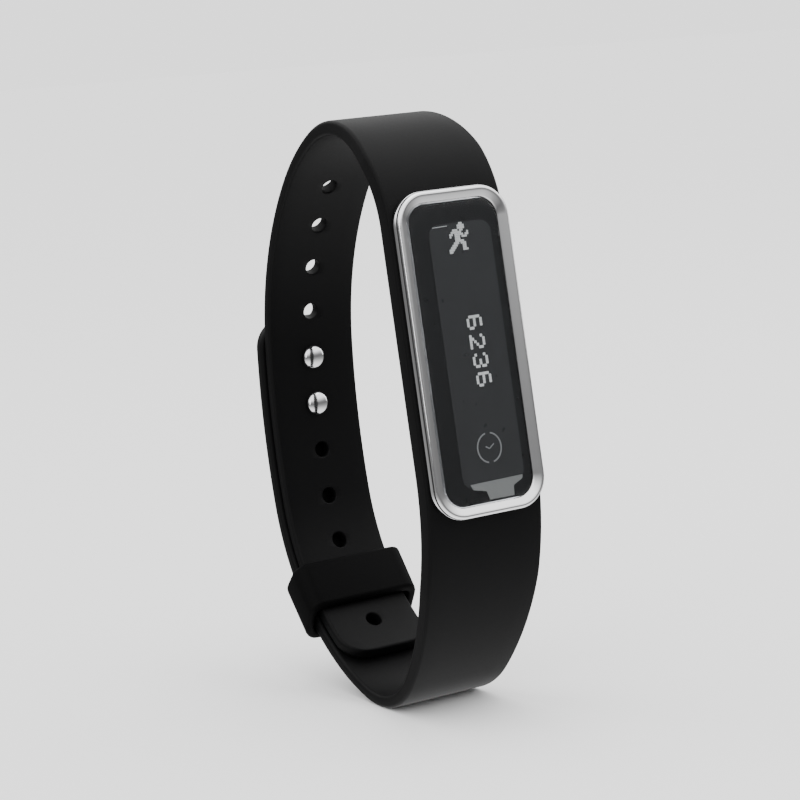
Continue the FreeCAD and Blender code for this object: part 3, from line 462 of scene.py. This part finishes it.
def make_keeper():
    """Moulded loop: a rounded strip swept round both straps, bent to the strap's arc."""
    centre, radius, _, _ = PEG_PATH[2]
    play = 0.15
    low, high = -2 * BACK_THICK - 2 * play, play
    half = 6.75
    wall, length, lean = 1.15, 7.0, 0.30
    loop = []
    corner = 0.7
    for cx, cn, start in ((half - corner, high - corner, 0), (-half + corner, high - corner, 90),
                          (-half + corner, low + corner, 180), (half - corner, low + corner, 270)):
        for k in range(7):
            a = math.radians(start + 90 * k / 6)
            dx, dn = math.cos(a), math.sin(a)
            loop.append((cx + corner * dx, cn + corner * dn, dx, dn))
    section = rounded(length / 2, wall / 2, 0.45, 5)
    bm = bmesh.new()
    rings = []
    for x, n, dx, dn in loop:
        ring = []
        for s, u in section:
            rise = u + wall / 2
            skew = -lean * (n + rise * dn + 1.6)
            angle = math.radians(SEAM) + (s + skew) / radius
            (y, z), _ = on_arc(PEG, PEG_PATH[2], angle, -(n + rise * dn))
            ring.append(world(x + rise * dx, y, z))
        rings.append(ring)
    skin(bm, rings, close=True)
    return new_object("keeper_strap_loop", bm)


keeper = dress(make_keeper(), LOOP_SILICONE)
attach(keeper, "keeper")
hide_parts("keeper_loop")


# ---- studs ------------------------------------------------------------------------------------

bm = bmesh.new()
for i in STUD_HOLES:
    centre, out = HOLES[i]
    dome = [(0.02, -1.72)] + [(1.5 * math.sin(a), -0.95 - 0.77 * math.cos(a))
                              for a in [math.pi / 2 * k / 10 for k in range(1, 11)]]
    rim = [(1.5, -0.86), (1.44, -0.80), (1.0, -0.79)]
    lathe(bm, dome + rim + [(1.0, 1.5), (0.02, 1.5)], centre, out, 40)
studs = dress(new_object("stud_pair", bm), STUD)
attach(studs, "clasp_end")
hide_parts("clasp_studs")

# ---- module -----------------------------------------------------------------------------------

BEZEL_PROFILE = [
    (1.62, 0.30), (0.30, 0.02), (0.10, 0.06), (0.0, 0.20), (0.0, 0.90), (0.03, 0.94),
    (0.32, 0.95), (0.32, 1.19), (0.08, 1.20), (0.06, 1.24), (0.08, 1.34), (0.19, 1.47),
    (0.31, 1.54), (0.44, 1.56), (0.56, 1.54), (0.70, 1.50), (1.00, 1.40), (1.30, 1.30),
    (1.46, 1.24), (1.53, 1.19), (1.54, 0.9)]
# Profile of a dark ring laid in the groove of the frame's wall: painted shade for the dark line
# there, not a seal.
SHADE_RING_PROFILE = [(0.16, 0.96), (0.13, 1.0), (0.13, 1.14), (0.16, 1.18), (0.31, 1.18), (0.31, 0.96)]


def frame_ring(name, profile, mat, sharp):
    """Closed ring round the display from a profile of (inset, height)."""
    bm = bmesh.new()
    skin(bm, [[world(x, y, z) for x, y in rounded(7.6, 19.0, 3.8, 12, inset)]
              for inset, z in profile], close=True)
    obj = dress(new_object(name, bm, sharp), mat)
    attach(obj, "band")
    return obj


bezel = frame_ring("display_bezel", BEZEL_PROFILE, CHROME, 50)
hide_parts("bezel_frame")
# Painted shade: a dark ring in the seal material fills the frame's groove.
frame_ring("bezel_painted_shade_ring", SHADE_RING_PROFILE, SEAL_AND_SHADE, 35)

GLASS_X, GLASS_Y, GLASS_CORNER, GLASS_BASE = 6.05, 17.45, 2.4, 1.1
DOME_TOP, DOME_RADIUS = 2.18, 38.0


def dome_height(x):
    return DOME_TOP - (DOME_RADIUS - math.sqrt(DOME_RADIUS ** 2 - x * x))


def glass_mesh():
    """Cover glass, domed across its width, with a softened rim and a flat underside."""
    bm = bmesh.new()
    outline = rounded(GLASS_X, GLASS_Y, GLASS_CORNER, 10)
    rings = [[world(x, y, GLASS_BASE) for x, y in outline]]
    for inset in (0.0, 0.06, 0.16, 0.30, 0.48, 0.7, 1.0, 1.6, 2.3, 3.0, 3.8, 4.6, 5.3, 5.9):
        drop = 0.42 * max(0.0, 1 - inset / 0.7) ** 2
        ring = []
        kx = (GLASS_X - inset) / GLASS_X
        ky = (GLASS_Y - inset) / GLASS_Y
        for x, y in outline:
            ring.append(world(x * kx, y * ky, dome_height(x * kx) - drop))
        rings.append(ring)
    skin(bm, rings)
    return new_object("domed_cover_glass", bm, 60)


glass = dress(glass_mesh(), GLASS)
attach(glass, "band")
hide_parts("front_glass")


def slab(name, outline, low, high, mat):
    bm = bmesh.new()
    skin(bm, [[world(x, y, z) for x, y in outline] for z in (low, high)])
    obj = dress(new_object(name, bm), mat)
    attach(obj, "band")
    return obj


slab("printed_border", rounded(6.0, 17.4, 2.35, 8), 0.96, 1.02, MASK)
OLED_X, OLED_Y = 0.75, -0.35
oled = [(x + OLED_X, y + OLED_Y) for x, y in rounded(4.25, 15.3, 1.4, 8)]
slab("display_face", oled, 1.03, 1.05, PANEL)
flex = [(-2.6, -15.15), (4.7, -15.05), (4.6, -15.5), (3.3, -16.1), (3.2, -17.25),
        (-0.2, -17.25), (-0.5, -16.2), (-2.3, -15.8)]
slab("flex_film", list(reversed(flex)), 1.06, 1.08, FLEX)
# Painted highlight: a thin glowing strip in the pixels' glow material stands in for the light
# caught on the panel's top corner edge.
glint = [(-2.9, 14.68), (-0.9, 14.72), (-0.9, 14.66), (-2.9, 14.62)]
slab("panel_edge_glint", glint, 1.06, 1.08, LIT)

GLYPHS = {"6": ("01110", "10000", "10000", "11110", "10001", "10001", "01110"),
          "2": ("01110", "10001", "00001", "00010", "00100", "01000", "11111"),
          "3": ("01110", "10001", "00001", "00110", "00001", "10001", "01110")}


def pixels(bm, x, y, size, low=1.07, high=1.10):
    """One lit square with slightly rounded corners."""
    ring = [(x + px, y + py) for px, py in rounded(size / 2, size / 2, 0.06, 2)]
    skin(bm, [[world(px, py, z) for px, py in ring] for z in (low, high)])


bm = bmesh.new()
PIXEL_ROW, PIXEL_COLUMN = 0.29, 0.33
DIGIT_CENTRES = ((1.02, 3.3), (1.06, 1.05), (1.14, -1.15), (1.25, -3.35))
for glyph, (cx, cy) in zip("6236", DIGIT_CENTRES):
    for row, line in enumerate(GLYPHS[glyph]):
        for column, mark in enumerate(line):
            if mark == "1":
                pixels(bm, cx + (3 - row) * PIXEL_ROW, cy - (column - 2) * PIXEL_COLUMN, 0.325)
digits = dress(new_object("display_digits", bm), LIT)
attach(digits, "band")

RUNNER = ("0000000110000", "0000001111000", "0000001111000", "0001110110000", "0011111100010",
          "0110111110110", "0100111011100", "0000111000000", "0000111110000", "0001110111000",
          "0011100011000", "0111000011000", "1110000011100", "1100000000000")
bm = bmesh.new()
for row, line in enumerate(RUNNER):
    for column, mark in enumerate(line):
        if mark == "1":
            pixels(bm, 0.55 + (column - 6) * 0.235, 13.2 + (6.5 - row) * 0.25, 0.245)
runner = dress(new_object("runner_icon", bm), LIT)
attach(runner, "band")

TOUCH_X, TOUCH_Y = 0.68, -11.28
bm = bmesh.new()
for start in (12, 192):
    ring_rows = []
    for k in range(25):
        a = math.radians(start + 156 * k / 24 - 90)
        ring_rows.append([world(TOUCH_X + (1.62 + dr) * math.cos(a),
                                TOUCH_Y + (1.72 + dr) * math.sin(a), z)
                          for dr, z in ((-0.09, 1.07), (0.09, 1.07), (0.09, 1.09), (-0.09, 1.09))])
    skin(bm, ring_rows)
for hand in (((0.68, -11.4), (1.35, -10.9)), ((0.68, -11.4), (0.2, -11.1))):
    a, b = Vector(hand[0]), Vector(hand[1])
    n = (b - a).normalized().orthogonal() * 0.07
    outline = [a + n, b + n, b - n, a - n]
    skin(bm, [[world(p.x, p.y, z) for p in outline] for z in (1.07, 1.09)])
ring_mark = dress(new_object("touch_ring", bm), DIM_LIT)
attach(ring_mark, "band")

# ---- CAD pieces that are shown as they are ----------------------------------------------------
SHOWN = {"module_housing": PLASTIC, "back_cover": PLASTIC, "back_cover_seal": SEAL_AND_SHADE,
         "lens_gasket": SEAL_AND_SHADE, "battery_pad": FOAM, "battery_cell": CELL, "circuit_board": BOARD,
         "processor_chip": CHIP, "memory_chip": CHIP, "motion_sensor": CHIP, "clock_crystal": STEEL,
         "radio_antenna": CERAMIC, "display_carrier": PLASTIC, "display_panel": PANEL,
         "display_flex": FLEX, "touch_electrode": GOLD, "vibration_motor": STEEL,
         "cover_screws": STEEL, "charging_contacts": GOLD, "clasp_plate": STEEL}
for name, mat in SHOWN.items():
    node = dress(frame["nodes"][name], mat)
    if name in ("back_cover", "module_housing", "charging_contacts", "cover_screws"):
        soft = node.modifiers.new("soft_edges", "BEVEL")
        soft.width = 0.00008
        soft.segments = 2
        soft.limit_method = "ANGLE"

# ---- stage, light and camera ------------------------------------------------------------------

FLOOR = material("floor_paper", (0.9, 0.9, 0.9), 0.9, spec=0.0, grain=40, wear=0.03)
WALL = material("wall_paper", (0.02, 0.02, 0.02), 0.9, spec=0.0, grain=40, wear=0.03,
                emit=(1, 1, 1, 1.75))


def ring_of(radius, height, count=64):
    turns = [2 * math.pi * k / count for k in range(count)]
    return [(radius * math.cos(t), radius * math.sin(t), height) for t in turns]


def stage():
    """Plain flat floor, and a wall of the same grey, 4 m off, that only the camera sees."""
    bm = bmesh.new()
    bm.faces.new([bm.verts.new(p) for p in ring_of(20.0, 0.0)])
    floor = dress(new_object("floor", bm), FLOOR)
    bm = bmesh.new()
    skin(bm, [ring_of(4.0, 0.0), ring_of(4.0, 3.0)], caps=False)
    wall = dress(new_object("wall", bm), WALL)
    wall.visible_diffuse = False
    wall.visible_shadow = False
    for obj in (floor, wall):
        obj.visible_glossy = False
        obj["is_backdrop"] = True


stage()

world_data = bpy.data.worlds.new("studio")
world_data.use_nodes = True
sky_tree = world_data.node_tree
sky = sky_tree.nodes["Background"]
sky.inputs["Color"].default_value = (1, 1, 1, 1)
look = sky_tree.nodes.new("ShaderNodeTexCoord")
parts = sky_tree.nodes.new("ShaderNodeSeparateXYZ")
ramp = sky_tree.nodes.new("ShaderNodeValToRGB")
height = sky_tree.nodes.new("ShaderNodeMapRange")
height.inputs["From Min"].default_value = -1.0
height.inputs["From Max"].default_value = 1.0
sky_tree.links.new(look.outputs["Generated"], parts.inputs["Vector"])
sky_tree.links.new(parts.outputs["Z"], height.inputs["Value"])
sky_tree.links.new(height.outputs["Result"], ramp.inputs["Fac"])
sky_tree.links.new(ramp.outputs["Color"], sky.inputs["Color"])
# (place, level) from straight down, 0, to straight up, 1
STOPS = [(0.0, 0.9), (0.2, 0.7), (0.36, 0.2), (0.46, 0.08), (0.53, 0.12), (0.60, 0.36), (0.72, 1.0),
         (1.0, 1.0)]
while len(ramp.color_ramp.elements) < len(STOPS):
    ramp.color_ramp.elements.new(0.5)
for element, (place, level) in zip(ramp.color_ramp.elements, STOPS):
    element.position = place
    element.color = (level, level, level, 1)
sky.inputs["Strength"].default_value = 2.2
bpy.context.scene.world = world_data


def area(name, place, aim, size, power):
    light = bpy.data.lights.new(name, "AREA")
    light.shape = "RECTANGLE"
    light.size, light.size_y = size
    light.energy = power
    obj = bpy.data.objects.new(name, light)
    obj.location = place
    obj.rotation_euler = (Vector(aim) - Vector(place)).to_track_quat("-Z", "Y").to_euler()
    bpy.context.scene.collection.objects.link(obj)
    return obj


area("top_light", (0.05, -0.05, 0.5), (0, 0, 0.03), (0.4, 0.4), 0.8)
area("left_strip", (-0.55, -0.32, 0.16), (0, 0, 0.04), (0.07, 0.3), 0.35)
area("right_strip", (0.6, 0.0, 0.16), (0, 0, 0.04), (0.12, 0.3), 0.35)

VIEW_RIGHT = Vector((0.84748765, -0.5251063, -0.07764056))
VIEW_UP = Vector((0.14620071, 0.09030104, 0.9851249))
VIEW_BACK = Vector((-0.51028427, -0.84623229, 0.15329993))
camera_data = bpy.data.cameras.new("camera")
FOCAL_PIXELS, FRAME_PIXELS, SENSOR = 2512.788, 800, 36
camera_data.lens = FOCAL_PIXELS / FRAME_PIXELS * SENSOR
camera_data.sensor_width = SENSOR
camera_data.clip_end = 50
camera = bpy.data.objects.new("camera", camera_data)
pose = Matrix((VIEW_RIGHT, VIEW_UP, VIEW_BACK)).transposed().to_4x4()
pose.translation = Vector((-155.449, -259.825, 83.739)) * 0.001
camera.matrix_world = pose
bpy.context.scene.collection.objects.link(camera)
bpy.context.scene.camera = camera

save_size("visual", sizes)
